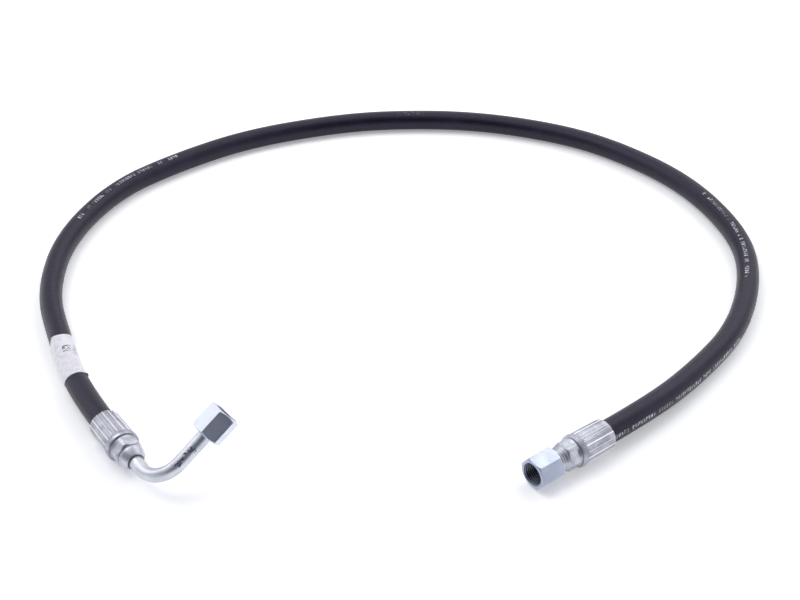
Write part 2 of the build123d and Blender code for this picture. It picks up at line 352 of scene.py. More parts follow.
def make_ferrule(name, axes, roll, seed):
    """Crimped ferrule: pressed lands between narrow ridges, ending short of a smooth collar."""
    chance = np.random.default_rng(seed)
    angles = spread_angles(roll, CRIMP_LANDS, RIDGE_OFFSETS)
    pitch = 360 / CRIMP_LANDS
    turned = (np.degrees(angles) - roll) / pitch
    nearest = np.rint(turned).astype(int) % CRIMP_LANDS
    land = np.floor(turned).astype(int) % CRIMP_LANDS
    offset = (turned - np.rint(turned)) * pitch
    inward = 1 - abs(offset) / (pitch / 2)
    ridge_height = 0.56 + chance.uniform(-0.2, 0.1, CRIMP_LANDS)
    ridge_width = 1.8 + chance.uniform(-0.5, 0.5, CRIMP_LANDS)
    ridge_end = CRIMP_END + chance.uniform(-2.0, -0.7, CRIMP_LANDS)
    land_depth = chance.uniform(-0.12, 0.12, CRIMP_LANDS)
    land_end = CRIMP_END - 1 + chance.uniform(-0.45, 0.45, CRIMP_LANDS)
    ridge = np.exp(-((offset / ridge_width[nearest]) ** 2))
    foot = np.exp(-(((abs(offset) - 2.4 * ridge_width[nearest]) / 1.1) ** 2))
    flat = 0.26 * (1 - inward**2) + land_depth[land] * (1 - ridge) - 0.09 * foot

    def outside(station):
        crest = CRIMP_MOUTH_R - 0.05 + 0.4 * (station - FERRULE_MOUTH) / 27
        fade = np.clip((ridge_end[nearest] + 1.4 - station) / 1.6, 0, 1)
        pressed = crest - 0.66 + flat + ridge * ridge_height[nearest] * fade
        edge = land_end[land] + 1.1 - inward**0.5
        step = np.clip((station - edge) / 0.9, 0, 1)
        step = step * step * (3 - 2 * step)
        return pressed * (1 - step) + (FERRULE_R - 0.02) * step

    start = FERRULE_MOUTH
    profile = [
        (start, COVER_R, 0.35),
        (start, outside(start) - 0.35, 0.5),
    ]
    coarse = np.linspace(start + 1.6, CRIMP_END - 3.5, 14)
    fine = np.arange(CRIMP_END - 3, CRIMP_END + 1.5, 0.3)
    for station in np.concatenate([coarse, fine]):
        profile.append((station, outside(station), 0))
    profile += [
        (FERRULE_END - 0.4, FERRULE_R - 0.25, 0.25),
        (FERRULE_END, FERRULE_R - 0.6, 0.2),
        (FERRULE_END, LIP_BORE_R, 0.1),
        (HOSE_END_GAP, LIP_BORE_R, 0.1),
        (HOSE_END_GAP, COVER_R, 0.2),
    ]

    # Painted light: the ridges are painted bright as a highlight, with painted shade at their feet
    # and along the step where each pressed land ends.
    def painted_light(station, radius):
        crimped = (radius > COVER_R + 0.5) & (station < CRIMP_END + 0.6)
        fade = np.clip((ridge_end[nearest] + 1.0 - station) / 1.6, 0, 1)
        edge = land_end[land] + 1.35 - inward**0.5
        step = np.exp(-(((station - edge) / 0.45) ** 2))
        return np.where(crimped, ridge * fade - 0.35 * foot * fade - 0.55 * step, 0)

    return lathe(name, axes, profile, angles, painted_light)


# ---------------------------------------------------------------- stems
def nipple_inside_out():
    """Profile of the barbed nipple, from the hexagon back to its tip."""
    points = [
        (FERRULE_END, LIP_BORE_R, 0.1),
        (HOSE_END_GAP, LIP_BORE_R, 0.1),
        (HOSE_END_GAP, LINER_BORE_R, 0.1),
    ]
    for barb in reversed(range(BARB_COUNT)):
        groove = NIPPLE_START + (barb + 1) * BARB_PITCH
        points.append((groove + BARB_GROOVE_WIDTH, LINER_BORE_R, 0.1))
        points.append((groove, BARB_GROOVE_R, 0.05))
        points.append((groove, LINER_BORE_R, 0.05))
    points.append((NIPPLE_START + 1.5, LINER_BORE_R, 0.3))
    points.append((NIPPLE_START, BARB_GROOVE_R, 0.2))
    points.append((NIPPLE_START, PASSAGE_R, 0.2))
    return points


def hexagon_rows(angles, roll):
    """Profile of the round body and the six wrench flats that are cut into it."""
    flats = np.minimum(hexagon(angles, roll, STEM_HEX_AF), STEM_BODY_R)
    front = STEM_HEX_AF / 2 - 0.2
    end = HEX_END - 1.1 * (flats - front) / (STEM_BODY_R - front)
    return [
        (FERRULE_END, STEM_BODY_R, 0.1),
        (HEX_SHOULDER - 1.1, STEM_BODY_R, 0.2),
        (HEX_SHOULDER + 0.9, flats, 0.3),
        (end, flats, 0.25),
    ]


def make_straight_stem(name, axes):
    """Stem with a ringed neck and a flat-faced swivel head."""
    angles = spread_angles(STRAIGHT_HEX_ROLL, 6, HEX_OFFSETS)
    head = STRAIGHT_NUT_REAR - SWIVEL_REAR
    wire = STRAIGHT_NUT_REAR + WIRE_STATION
    face = STRAIGHT_NUT_REAR + SEAT_FACE
    groove = WIRE_GROOVE_WIDTH / 2
    profile = hexagon_rows(angles, STRAIGHT_HEX_ROLL) + [
        (HEX_END, 9.25, 0.2),
        (HEX_END + 1.6, 9.0, 0.4),
        (HEX_END + 2.1, 8.4, 0.3),
        (HEX_END + 3.4, 8.3, 0.2),
        (HEX_END + 3.6, 7.9, 0.15),
        (HEX_END + 4.3, 7.9, 0.15),
        (HEX_END + 4.5, 8.6, 0.2),
        (head - 0.6, 8.6, 0.3),
        (head, 8.2, 0.25),
        (head, SWIVEL_R, 0.1),
        (wire - groove, SWIVEL_R, 0.08),
        (wire - groove, STEM_GROOVE_R, 0.08),
        (wire + groove, STEM_GROOVE_R, 0.08),
        (wire + groove, SWIVEL_R, 0.08),
        (face - 0.5, SWIVEL_R, 0.15),
        (face, SWIVEL_R - 0.5, 0.15),
        (face, PASSAGE_R, 0.2),
    ]
    profile += reversed(nipple_inside_out())
    return lathe(name, axes, profile, angles)


def make_elbow_stem(name, axes):
    """Stem whose domed boss is bored as a socket for the bent tube."""
    angles = spread_angles(ELBOW_HEX_ROLL, 6, HEX_OFFSETS)
    profile = hexagon_rows(angles, ELBOW_HEX_ROLL) + [
        (HEX_END, 9.25, 0.25),
        (HEX_END + 0.15, 8.5, 0.1),
        (HEX_END + 0.8, 8.5, 0.15),
        (HEX_END + 1.2, 9.4, 0.3),
        (HEX_END + 1.8, 9.4, 0.5),
        (HEX_END + 3.0, 9.1, 0.7),
        (HEX_END + 4.6, 8.4, 0.8),
        (HEX_END + 6.2, 7.5, 0.8),
        (SOCKET_END, 6.5, 0.3),
        (SOCKET_END, BRAZE_R, 0.1),
        (SOCKET_END - BRAZE_DEPTH, BRAZE_R, 0.1),
        (SOCKET_END - BRAZE_DEPTH, TUBE_R, 0),
        (TUBE_START, TUBE_R, 0.05),
        (TUBE_START, PASSAGE_R, 0.05),
    ]
    profile += reversed(nipple_inside_out())
    return lathe(name, axes, profile, angles)


# ---------------------------------------------------------------- hose and tube
def read_route():
    """Centreline of the hose, in millimetres, read from its NURBS spline."""
    data = bpy.data.curves.new("hose_route", "CURVE")
    data.dimensions = "3D"
    data.resolution_u = ROUTE_STEPS
    spline = data.splines.new("NURBS")
    spline.points.add(len(ROUTE) - 1)
    for point, (x, y, z) in zip(spline.points, ROUTE):
        point.co = (x * MM, y * MM, z * MM, 1.0)
    spline.order_u = 3
    spline.use_endpoint_u = True
    carrier = bpy.data.objects.new("hose_route", data)
    mesh = bpy.data.meshes.new_from_object(carrier)
    line = np.array([vertex.co for vertex in mesh.vertices], float)
    bpy.data.objects.remove(carrier)
    bpy.data.curves.remove(data)
    bpy.data.meshes.remove(mesh)
    return line / MM


def along_of(line):
    """Distance of each point of a line from its start."""
    return np.append(0, np.cumsum(np.linalg.norm(np.diff(line, axis=0), axis=1)))


class Sweep:
    """A line with a top and a side direction at each point, to place things round it."""

    def __init__(self, line, top):
        self.line = line
        self.along = along_of(line)
        self.ahead = unit(np.gradient(line, axis=0))
        top = np.broadcast_to(top, line.shape)
        self.top = unit(top - (top * self.ahead).sum(1)[:, None] * self.ahead)
        self.side = np.cross(self.top, self.ahead)

    def at(self, distance, angle, radius):
        """Points at distances along the line, angles from the top towards the side, and radii."""
        distance, angle, radius = np.broadcast_arrays(distance, angle, radius)

        def read(values):
            return np.stack(
                [np.interp(distance, self.along, values[:, k]) for k in range(3)], axis=-1
            )

        out = np.cos(angle)[..., None] * read(self.top) + np.sin(angle)[..., None] * read(self.side)
        return read(self.line) + radius[..., None] * out


def make_layer(name, sweep, distances, columns, outer, inner):
    """Hollow tube along a sweep. outer and inner are radii, one number or one per grid point."""
    angles = np.linspace(0, 2 * pi, columns, endpoint=False)
    shape = (len(distances), columns)
    outside = sweep.at(distances[:, None], angles[None, :], np.broadcast_to(outer, shape))
    inside = sweep.at(distances[:, None], angles[None, :], np.broadcast_to(inner, shape))
    points = np.concatenate([outside, inside[::-1]])
    rows = np.concatenate([distances, distances[::-1], distances[:1]]) * MM
    turns = np.linspace(0, 1, columns + 1)
    uv = np.stack(np.meshgrid(turns, rows), axis=-1)
    return closed_grid(name, points, uv)


def make_label(name, sweep):
    """Printed film wrapped not quite once round the hose, a little askew, with a loose edge.

    Its first edge is slanted towards the end where along is 1, and its second edge is straight.
    """
    rows, columns = 56, 90
    along = np.linspace(0, 1, rows)[:, None]
    round_it = np.linspace(0, 1, columns)[None, :]
    cut = np.clip((1 - along) / 0.42, 0, 1)
    first = radians(44) + radians(60) * cut * (2 - cut)
    turn = first + (radians(-212) - first) * round_it
    skew = 2.2 - 2.2 * np.cos(turn - radians(20))
    corner = 1.6 * np.exp(-(((turn - first) / 0.5) ** 2)) * along
    ripple = 0.25 * np.sin(9 * round_it + 2 * along)
    distance = LABEL_START + (LABEL_END - LABEL_START) * along + skew + corner + ripple
    first_edge = np.exp(-((round_it / 0.012) ** 2)) * (0.12 + 0.2 * along)
    flare = np.exp(-(((turn + radians(70)) / 0.22) ** 2)) * np.clip(1 - along / 0.09, 0, 1)
    lift = 0.1 + first_edge + 0.9 * flare + 0.03 * np.sin(23 * along + 7 * round_it)
    outer = COVER_R + lift + LABEL_THICKNESS
    outside = sweep.at(distance, turn, outer)
    inside = sweep.at(distance, turn, outer - LABEL_THICKNESS)
    count = rows * columns
    index = np.arange(count).reshape(rows, columns)
    faces = []
    for sheet, flip in ((index, False), (index + count, True)):
        quads = np.stack([sheet[:-1, :-1], sheet[:-1, 1:], sheet[1:, 1:], sheet[1:, :-1]], axis=-1)
        faces.append(quads.reshape(-1, 4)[:, ::-1] if flip else quads.reshape(-1, 4))
    edge = np.concatenate([index[0, :-1], index[:-1, -1], index[-1, :0:-1], index[:0:-1, 0]])
    ahead = np.roll(edge, -1)
    faces.append(np.stack([edge, edge + count, ahead + count, ahead], axis=-1))
    faces = np.concatenate(faces)
    flat = np.stack(
        np.broadcast_arrays(round_it, along * (LABEL_END - LABEL_START) * MM), axis=-1
    ).reshape(-1, 2)
    corners = np.concatenate([flat, flat])[faces.reshape(-1)]
    vertices = np.concatenate([outside.reshape(-1, 3), inside.reshape(-1, 3)]) * MM
    return finished_mesh(name, vertices, faces, corners)


def bent_line():
    """Centreline of the rigid elbow tube: straight, a quarter turn, straight."""
    leg = np.linspace(BEND_R, BEND_R + ELBOW_NUT_REAR + TUBE_INTO_SEAT, LEG_RINGS)
    foot = np.linspace(TUBE_START, BEND_START, FOOT_RINGS)
    turn = np.radians(np.linspace(0, 90, 49))[1:-1]
    bend = BEND_START + BEND_R * np.sin(turn)
    station = np.concatenate([foot, bend, np.full(LEG_RINGS, BEND_START + BEND_R)])
    across = np.concatenate([np.zeros(FOOT_RINGS), BEND_R * (1 - np.cos(turn)), leg])
    return elbow_end.place(station, across, np.zeros(len(station)))


def make_tube(name, sweep):
    """Drawn steel tube, a little flattened where it is bent."""
    foot = BEND_START - TUBE_START
    bend = BEND_R * pi / 2
    middle = (sweep.along - foot) / bend
    squeeze = np.clip(np.sin(np.clip(middle, 0, 1) * pi), 0, 1) ** 0.6
    angles = np.linspace(0, 2 * pi, TUBE_COLUMNS, endpoint=False)
    oval = 0.05 * np.cos(angles) ** 2 - 0.16 * np.sin(angles) ** 2
    outer = TUBE_R + squeeze[:, None] * oval[None, :]
    return make_layer(name, sweep, sweep.along, TUBE_COLUMNS, outer, PASSAGE_R)


def make_marks(name, sweep, strokes):
    """Pen strokes on the tube: thin ribbons, each from one (distance, turn) to another."""
    steps = 10
    vertices, faces = [], []
    for start, end, width in strokes:
        t = np.linspace(0, 1, steps)
        distance = start[0] + (end[0] - start[0]) * t
        round_it = start[1] + (end[1] - start[1]) * t
        run = np.array([end[0] - start[0], (end[1] - start[1]) * TUBE_R], float)
        across = np.array([-run[1], run[0]]) / np.linalg.norm(run) * width / 2
        across = across * (0.55 + 0.45 * np.sin(pi * t))[:, None]
        first = len(vertices)
        for radius in (TUBE_R + 0.03, TUBE_R - 0.02):
            for sign in (1, -1):
                vertices += list(
                    sweep.at(
                        distance + sign * across[:, 0],
                        round_it + sign * across[:, 1] / TUBE_R,
                        radius,
                    )
                )
        a, b, c, d = (first + steps * k for k in range(4))
        for i in range(steps - 1):
            for p, q in ((a, b), (b, d), (d, c), (c, a)):
                faces.append((p + i, p + i + 1, q + i + 1, q + i))
        faces.append((a, b, d, c))
        faces.append(tuple(k + steps - 1 for k in (c, d, b, a)))
    faces = np.array(faces)
    corners = np.zeros((faces.size, 2))
    return finished_mesh(name, np.array(vertices) * MM, faces, corners)


# ---------------------------------------------------------------- materials
class Shade:
    """Builds one node material."""

    def __init__(self, name):
        self.material = bpy.data.materials.new(name)
        self.material.use_nodes = True
        self.tree = self.material.node_tree
        self.tree.nodes.clear()
        self.surface = self.tree.nodes.new("ShaderNodeBsdfPrincipled")
        output = self.tree.nodes.new("ShaderNodeOutputMaterial")
        self.tree.links.new(self.surface.outputs[0], output.inputs[0])
        place = self.tree.nodes.new("ShaderNodeTexCoord")
        self.object = place.outputs["Object"]
        split = self.tree.nodes.new("ShaderNodeSeparateXYZ")
        self.tree.links.new(place.outputs["UV"], split.inputs[0])
        self.turn, self.along = split.outputs[0], split.outputs[1]

    def feed(self, socket, value):
        """Links a socket to the value, or sets it."""
        if isinstance(value, bpy.types.NodeSocket):
            self.tree.links.new(value, socket)
        elif isinstance(value, tuple) and len(value) == 3 and len(socket.default_value) == 4:
            socket.default_value = (*value, 1)
        else:
            socket.default_value = value

    def set(self, **values):
        """Feeds the surface's own inputs."""
        for name, value in values.items():
            self.feed(self.surface.inputs[name.replace("_", " ")], value)

    def math(self, operation, *values, clamp=False):
        node = self.tree.nodes.new("ShaderNodeMath")
        node.operation = operation
        node.use_clamp = clamp
        for socket, value in zip(node.inputs, values):
            self.feed(socket, value)
        return node.outputs[0]

    def fit(self, value, low, high, start=0.0, end=1.0):
        """The value's range from low to high, smoothly brought to start and end."""
        node = self.tree.nodes.new("ShaderNodeMapRange")
        node.interpolation_type = "SMOOTHSTEP"
        for index, given in enumerate((value, low, high, start, end)):
            self.feed(node.inputs[index], given)
        return node.outputs[0]

    def times(self, first, second):
        return self.math("MULTIPLY", first, second)

    def plus(self, first, second):
        return self.math("ADD", first, second)

    def noise(self, scale, detail=2.0, rough=0.5, vector=None):
        """Noise in the piece's own metres, or in the vector given."""
        node = self.tree.nodes.new("ShaderNodeTexNoise")
        self.feed(node.inputs["Vector"], self.object if vector is None else vector)
        self.feed(node.inputs["Scale"], scale)
        self.feed(node.inputs["Detail"], detail)
        self.feed(node.inputs["Roughness"], rough)
        return node.outputs["Fac"]

    def attribute(self, name):
        """A number that the mesh carries at each vertex."""
        node = self.tree.nodes.new("ShaderNodeAttribute")
        node.attribute_name = name
        return node.outputs["Fac"]

    def cells(self, value):
        """A random number for each whole number."""
        node = self.tree.nodes.new("ShaderNodeTexWhiteNoise")
        node.noise_dimensions = "1D"
        self.feed(node.inputs["W"], value)
        return node.outputs["Value"]

    def vector(self, x, y, z=0.0):
        node = self.tree.nodes.new("ShaderNodeCombineXYZ")
        for socket, value in zip(node.inputs, (x, y, z)):
            self.feed(socket, value)
        return node.outputs[0]

    def blend(self, amount, first, second):
        node = self.tree.nodes.new("ShaderNodeMix")
        node.data_type = "RGBA"
        self.feed(node.inputs[0], amount)
        self.feed(node.inputs[6], first)
        self.feed(node.inputs[7], second)
        return node.outputs[2]

    def bump(self, height, distance, strength=1.0, normal=None):
        node = self.tree.nodes.new("ShaderNodeBump")
        self.feed(node.inputs["Strength"], strength)
        self.feed(node.inputs["Distance"], distance)
        self.feed(node.inputs["Height"], height)
        if normal is not None:
            self.feed(node.inputs["Normal"], normal)
        return node.outputs[0]

    def window(self, value, low, high, soft):
        """One between low and high, falling to nothing within soft of each."""
        rise = self.fit(value, low - soft, low + soft)
        fall = self.fit(value, high - soft, high + soft)
        return self.math("SUBTRACT", rise, fall, clamp=True)


def zinc(name, colour, roughness, mottle=0.1, turned=0.0, grain=None):
    """Bright zinc plate over steel: faint mottling, fine pitting, machining lines, and highlights
    and shade painted from the mesh's number.
    """
    shade = Shade(name)
    clouds = shade.noise(110, 4, 0.6)
    speck = shade.noise(900, 3, 0.65)
    stain = shade.fit(clouds, 0.36, 0.66)
    base = shade.blend(stain, colour, tuple(c * (1 - mottle) for c in colour))
    pits = shade.fit(speck, 0.62, 0.78)
    base = shade.blend(shade.times(pits, 0.35), base, tuple(c * 0.6 for c in colour))
    # Painted light from the mesh's number: a high number lifts the colour to a painted highlight and
    # lowers the roughness, a low one darkens it to painted shade.
    painted_light = shade.attribute("painted_light")
    painted_highlight = shade.fit(painted_light, 0.1, 0.9)
    painted_shade = shade.fit(shade.times(painted_light, -1.0), 0.0, 1.0)
    base = shade.blend(shade.times(painted_highlight, 0.7), base, (0.93, 0.93, 0.96))
    base = shade.blend(shade.times(painted_shade, 0.93), base, (0.055, 0.058, 0.075))
    rough = shade.plus(shade.times(clouds, 0.2), roughness - 0.1)
    rough = shade.plus(rough, shade.times(pits, 0.12))
    rough = shade.math("SUBTRACT", rough, shade.times(painted_highlight, 0.12))
    height = speck
    if turned:
        lines = shade.vector(0.0, shade.times(shade.along, 6500.0))
        lines = shade.noise(1.0, 2, 0.5, lines)
        height = shade.plus(height, shade.times(lines, turned))
    if grain is not None:
        brushed = shade.vector(shade.times(shade.turn, grain), shade.times(shade.along, 90.0))
        brushed = shade.noise(1.0, 3, 0.5, brushed)
        height = shade.plus(height, shade.times(brushed, 1.2))
    wave = shade.bump(clouds, 0.0006, 0.25)
    shade.set(
        Base_Color=base,
        Metallic=1.0,
        Roughness=rough,
        Normal=shade.bump(height, 0.00004, 0.5, wave),
    )
    return shade.material


# Wrap marks left in the cover: millimetres from rib to rib, and threads round the hose
RIB_PITCH = 1.75
THREADS_ROUND = 46
# Worn print on the cover: degrees from the top, first and last millimetre, and a seed
PRINTED_RUNS = ((-10, 290, 420, 1), (-12, 948, 1082, 2), (80, 1150, 1304, 3))
CHARACTER_PITCH = 2.7
WORD_LENGTH = 6.0
SCUFF = (634, 657)


def printed_run(shade, millimetres, centre, start, end, seed):
    """Strength of one line of broken ticks, set like words but spelling nothing."""
    offset = shade.math("SUBTRACT", shade.turn, (centre % 360) / 360)
    offset = shade.math("WRAP", offset, 0.5, -0.5)
    across = shade.times(offset, 2 * pi * COVER_R)
    band = shade.window(across, -1.5, 1.5, 0.25)
    run = shade.window(millimetres, start, end, 0.5)
    cell = shade.plus(shade.math("DIVIDE", millimetres, CHARACTER_PITCH), seed * 31.7)
    inside = shade.window(shade.math("FRACT", cell), 0.16, 0.84, 0.08)
    here = shade.math("GREATER_THAN", shade.cells(shade.math("FLOOR", cell)), 0.2)
    word = shade.math("FLOOR", shade.math("DIVIDE", cell, WORD_LENGTH))
    word = shade.fit(shade.cells(shade.plus(word, 77.0)), 0.1, 0.4, 0.25, 1.0)
    bars = shade.vector(shade.times(across, 0.75), shade.times(millimetres, 1.5), seed * 5.0)
    bars = shade.fit(shade.noise(1.0, 1, 0.5, bars), 0.4, 0.52)
    wear = shade.fit(shade.noise(420, 4, 0.7), 0.36, 0.6)
    mark = band
    for part in (run, inside, here, word, bars, wear):
        mark = shade.times(mark, part)
    return mark


def hose_rubber():
    """Cloth-wrapped synthetic rubber: fine ribs, dusty patches and a line of marks with wear."""
    shade = Shade("hose_rubber")
    millimetres = shade.times(shade.along, 1 / MM)
    warp = shade.noise(60, 3, 0.6)
    lean = shade.plus(shade.times(shade.turn, 3.0), shade.times(warp, 1.2))
    ribs = shade.plus(shade.math("DIVIDE", millimetres, RIB_PITCH), lean)
    ribs = shade.math("SINE", shade.times(ribs, 2 * pi))
    threads = shade.math("SINE", shade.times(shade.turn, 2 * pi * THREADS_ROUND))
    weave = shade.plus(shade.times(ribs, 0.5), shade.times(threads, 0.25))
    grit = shade.noise(1400, 3, 0.7)
    height = shade.plus(weave, shade.times(grit, 1.1))
    dust = shade.fit(shade.noise(38, 5, 0.65), 0.42, 0.72)
    tone_shift = shade.fit(ribs, 0.1, 1.0)
    colour = shade.blend(shade.times(tone_shift, 0.4), (0.006, 0.005, 0.011), (0.013, 0.0112, 0.022))
    colour = shade.blend(shade.times(dust, 0.4), colour, (0.026, 0.022, 0.042))
    scratch = shade.vector(shade.times(shade.turn, 20.0), shade.times(millimetres, 0.9))
    scratch = shade.fit(shade.noise(1.0, 4, 0.6, scratch), 0.68, 0.8)
    colour = shade.blend(shade.times(scratch, 0.3), colour, (0.16, 0.155, 0.175))
    ink = None
    for centre, start, end, seed in PRINTED_RUNS:
        mark = printed_run(shade, millimetres, centre, start, end, seed)
        ink = mark if ink is None else shade.math("MAXIMUM", ink, mark)
    colour = shade.blend(ink, colour, (0.8, 0.8, 0.86))
    scuff = shade.math("WRAP", shade.math("SUBTRACT", shade.turn, 0.97), 0.5, -0.5)
    scuff = shade.window(scuff, -0.06, 0.06, 0.03)
    scuff = shade.times(shade.window(millimetres, *SCUFF, 2.5), scuff)
    scuff = shade.times(scuff, shade.fit(shade.noise(330, 5, 0.75), 0.5, 0.66))
    colour = shade.blend(shade.times(scuff, 0.6), colour, (0.22, 0.22, 0.26))
    rough = shade.plus(shade.times(dust, 0.1), 0.3)
    rough = shade.plus(rough, shade.times(grit, 0.1))
    shade.set(
        Base_Color=colour,
        Roughness=rough,
        Specular_IOR_Level=0.42,
        Specular_Tint=(0.78, 0.74, 1.0),
        Normal=shade.bump(height, 0.0001, 0.9),
    )
    return shade.material


# Print on the label, in millimetres across it and along it from its first corner
LABEL_WIDTH = 49.0
LABEL_PATCH = (14.0, 20.2, 28.8, 36.8)
# Faint bars: area, pitch, tone and strength
LABEL_BARS = (
    ((21.6, 28.5, 24.5, 37.5), 1.4, (0.12, 0.12, 0.16), 0.8),
    ((12, 19, 19, 26), 2.2, (0.5, 0.42, 0.44), 0.3),
    ((16.5, 24, 9, 19), 2.0, (0.75, 0.36, 0.3), 0.4),
)


def label_film():
    """White film with a small printed patch and faint grey and pink bars."""
    shade = Shade("label_film")
    millimetres = shade.times(shade.along, 1 / MM)
    crinkle = shade.noise(260, 4, 0.6)
    colour = shade.blend(shade.fit(crinkle, 0.4, 0.75), (0.79, 0.78, 0.83), (0.64, 0.63, 0.69))
    across = shade.times(shade.turn, LABEL_WIDTH)
    left, right, near, far = LABEL_PATCH
    patch = shade.window(across, left, right, 0.1)
    patch = shade.times(patch, shade.window(millimetres, near, far, 0.1))
    column = shade.math("FLOOR", shade.times(across, 1.05))
    line = shade.math("FLOOR", shade.times(millimetres, 1.05))
    dots = shade.cells(shade.plus(column, shade.times(line, 57.0)))
    dots = shade.math("GREATER_THAN", dots, 0.42)
    dots = shade.times(shade.times(patch, dots), 0.85)
    colour = shade.blend(dots, colour, (0.05, 0.05, 0.07))
    broken = shade.vector(shade.times(across, 0.2), shade.times(millimetres, 1.1))
    broken = shade.fit(shade.noise(1.0, 2, 0.5, broken), 0.4, 0.55)
    for (left, right, near, far), pitch, tone, amount in LABEL_BARS:
        area = shade.window(across, left, right, 0.3)
        area = shade.times(area, shade.window(millimetres, near, far, 0.3))
        stripe = shade.math("FRACT", shade.math("DIVIDE", across, pitch))
        stripe = shade.times(shade.window(stripe, 0.2, 0.65, 0.1), broken)
        stripe = shade.times(stripe, amount)
        colour = shade.blend(shade.times(area, stripe), colour, tone)
    shade.set(
        Base_Color=colour,
        Roughness=shade.plus(shade.times(crinkle, 0.2), 0.38),
        Normal=shade.bump(crinkle, 0.00012, 0.5),
    )
    return shade.material


def plain_rubber():
    """Smooth black inner-tube rubber."""
    shade = Shade("liner_rubber")
    grain = shade.noise(700, 3, 0.6)
    shade.set(
        Base_Color=shade.blend(grain, (0.016, 0.016, 0.018), (0.035, 0.034, 0.037)),
        Roughness=shade.plus(shade.times(grain, 0.2), 0.5),
        Normal=shade.bump(grain, 0.00005, 0.5),
    )
    return shade.material


def braided_wire():
    """Brass-coated wires crossing in two directions."""
    shade = Shade("braid_wire")
    millimetres = shade.times(shade.along, 1 / MM)
    height = None
    for sign in (1, -1):
        lay = shade.math("DIVIDE", millimetres, 0.34)
        lay = shade.plus(shade.times(shade.turn, sign * 96.0), lay)
        wires = shade.math("SINE", shade.times(lay, 2 * pi))
        weight = shade.math("SINE", shade.plus(shade.times(millimetres, 1.4), sign * 1.57))
        part = shade.times(shade.fit(weight, -0.2, 0.2), wires)
        height = part if height is None else shade.plus(height, part)
    # Painted shade and painted highlight: the colour is dark in the gaps between the wires and
    # bright on their crests.
    shine = shade.fit(height, -0.6, 0.6)
    shade.set(
        Base_Color=shade.blend(shine, (0.2, 0.16, 0.08), (0.72, 0.62, 0.38)),
        Metallic=1.0,
        Roughness=shade.fit(shine, 0, 1, 0.45, 0.28),
        Normal=shade.bump(height, 0.0001, 0.8),
    )
    return shade.material


def spring_wire():
    """Drawn bright spring wire."""
    shade = Shade("spring_wire")
    draw = shade.noise(1500, 3, 0.6)
    shade.set(
        Base_Color=shade.blend(draw, (0.5, 0.5, 0.53), (0.66, 0.66, 0.69)),
        Metallic=1.0,
        Roughness=shade.plus(shade.times(draw, 0.15), 0.25),
        Normal=shade.bump(draw, 0.00003, 0.5),
    )
    return shade.material


def braze_metal():
    """Dull, slightly sunken brazing alloy, dark with flux."""
    shade = Shade("braze_metal")
    lumps = shade.noise(700, 4, 0.6)
    shade.set(
        Base_Color=shade.blend(lumps, (0.07, 0.075, 0.1), (0.26, 0.25, 0.26)),
        Metallic=0.8,
        Roughness=shade.plus(shade.times(lumps, 0.25), 0.45),
        Normal=shade.bump(lumps, 0.0002, 0.8),
    )
    return shade.material


def pen_ink():
    """Felt pen ink, dried unevenly on the metal."""
    shade = Shade("pen_ink")
    patchy = shade.noise(1500, 3, 0.7)
    shade.set(
        Base_Color=shade.blend(patchy, (0.008, 0.008, 0.01), (0.035, 0.032, 0.04)),
        Roughness=shade.plus(shade.times(patchy, 0.2), 0.4),
        Normal=shade.bump(patchy, 0.00002, 0.5),
    )
    return shade.material


def studio_floor():
    """Plain white surface, a little lit from within."""
    shade = Shade("studio_floor")
    shade.set(Base_Color=(0.93, 0.93, 0.94), Roughness=0.85)
    shade.set(Emission_Color=(1.0, 1.0, 1.0), Emission_Strength=0.3)
    shade.set(Normal=shade.bump(shade.noise(30, 2), 0.0001, 0.05))
    return shade.material


def dress(piece, body, slot, material, *nodes):
    """Puts a finished piece on its body, with its material, in place of its CAD nodes; slot is not
    used.
    """
    piece.data.materials.clear()
    piece.data.materials.append(material)
    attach(piece, body)
    if nodes:
        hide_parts(*nodes)
    return piece


# ---------------------------------------------------------------- the assembly
ROOT = "hose_assembly"
ferrule_zinc = zinc("ferrule_zinc", (0.5, 0.5, 0.57), 0.42, 0.32, grain=260.0)
stem_zinc = zinc("stem_zinc", (0.6, 0.61, 0.68), 0.44, 0.3, turned=0.5)
# Painted shade: the straight nut's plating is a darker, bluer copy of the elbow nut's, so that its
# facets read as shaded.
straight_nut_painted_shade_zinc = zinc("straight_nut_painted_shade_zinc", (0.43, 0.47, 0.58), 0.31, 0.1, turned=0.2)
elbow_nut_zinc = zinc("elbow_nut_zinc", (0.66, 0.69, 0.78), 0.33, 0.1, turned=0.2)
tube_zinc = zinc("tube_zinc", (0.66, 0.68, 0.74), 0.42, 0.12, turned=0.9)
rubber = hose_rubber()
wire_steel = spring_wire()
braze = braze_metal()

hose_line = read_route()
hose_sweep = Sweep(hose_line, UP)
rings = hose_sweep.along
cover = dress(
    make_layer("hose_body", hose_sweep, rings, HOSE_COLUMNS, COVER_R, BRAID_R),
    ROOT, "cover_rubber", rubber, "hose_cover",
)
dress(
    make_layer("hose_braid", hose_sweep, rings[::2], LINING_COLUMNS, BRAID_R, LINER_R),
    ROOT, "braid_wire", braided_wire(), "wire_braid",
)
dress(
    make_layer("hose_liner", hose_sweep, rings[::2], LINING_COLUMNS, LINER_R, LINER_BORE_R),
    ROOT, "liner_rubber", plain_rubber(), "hose_inner_tube",
)
label = dress(make_label("label_wrap", hose_sweep), ROOT, "label_film", label_film(), "hose_label")

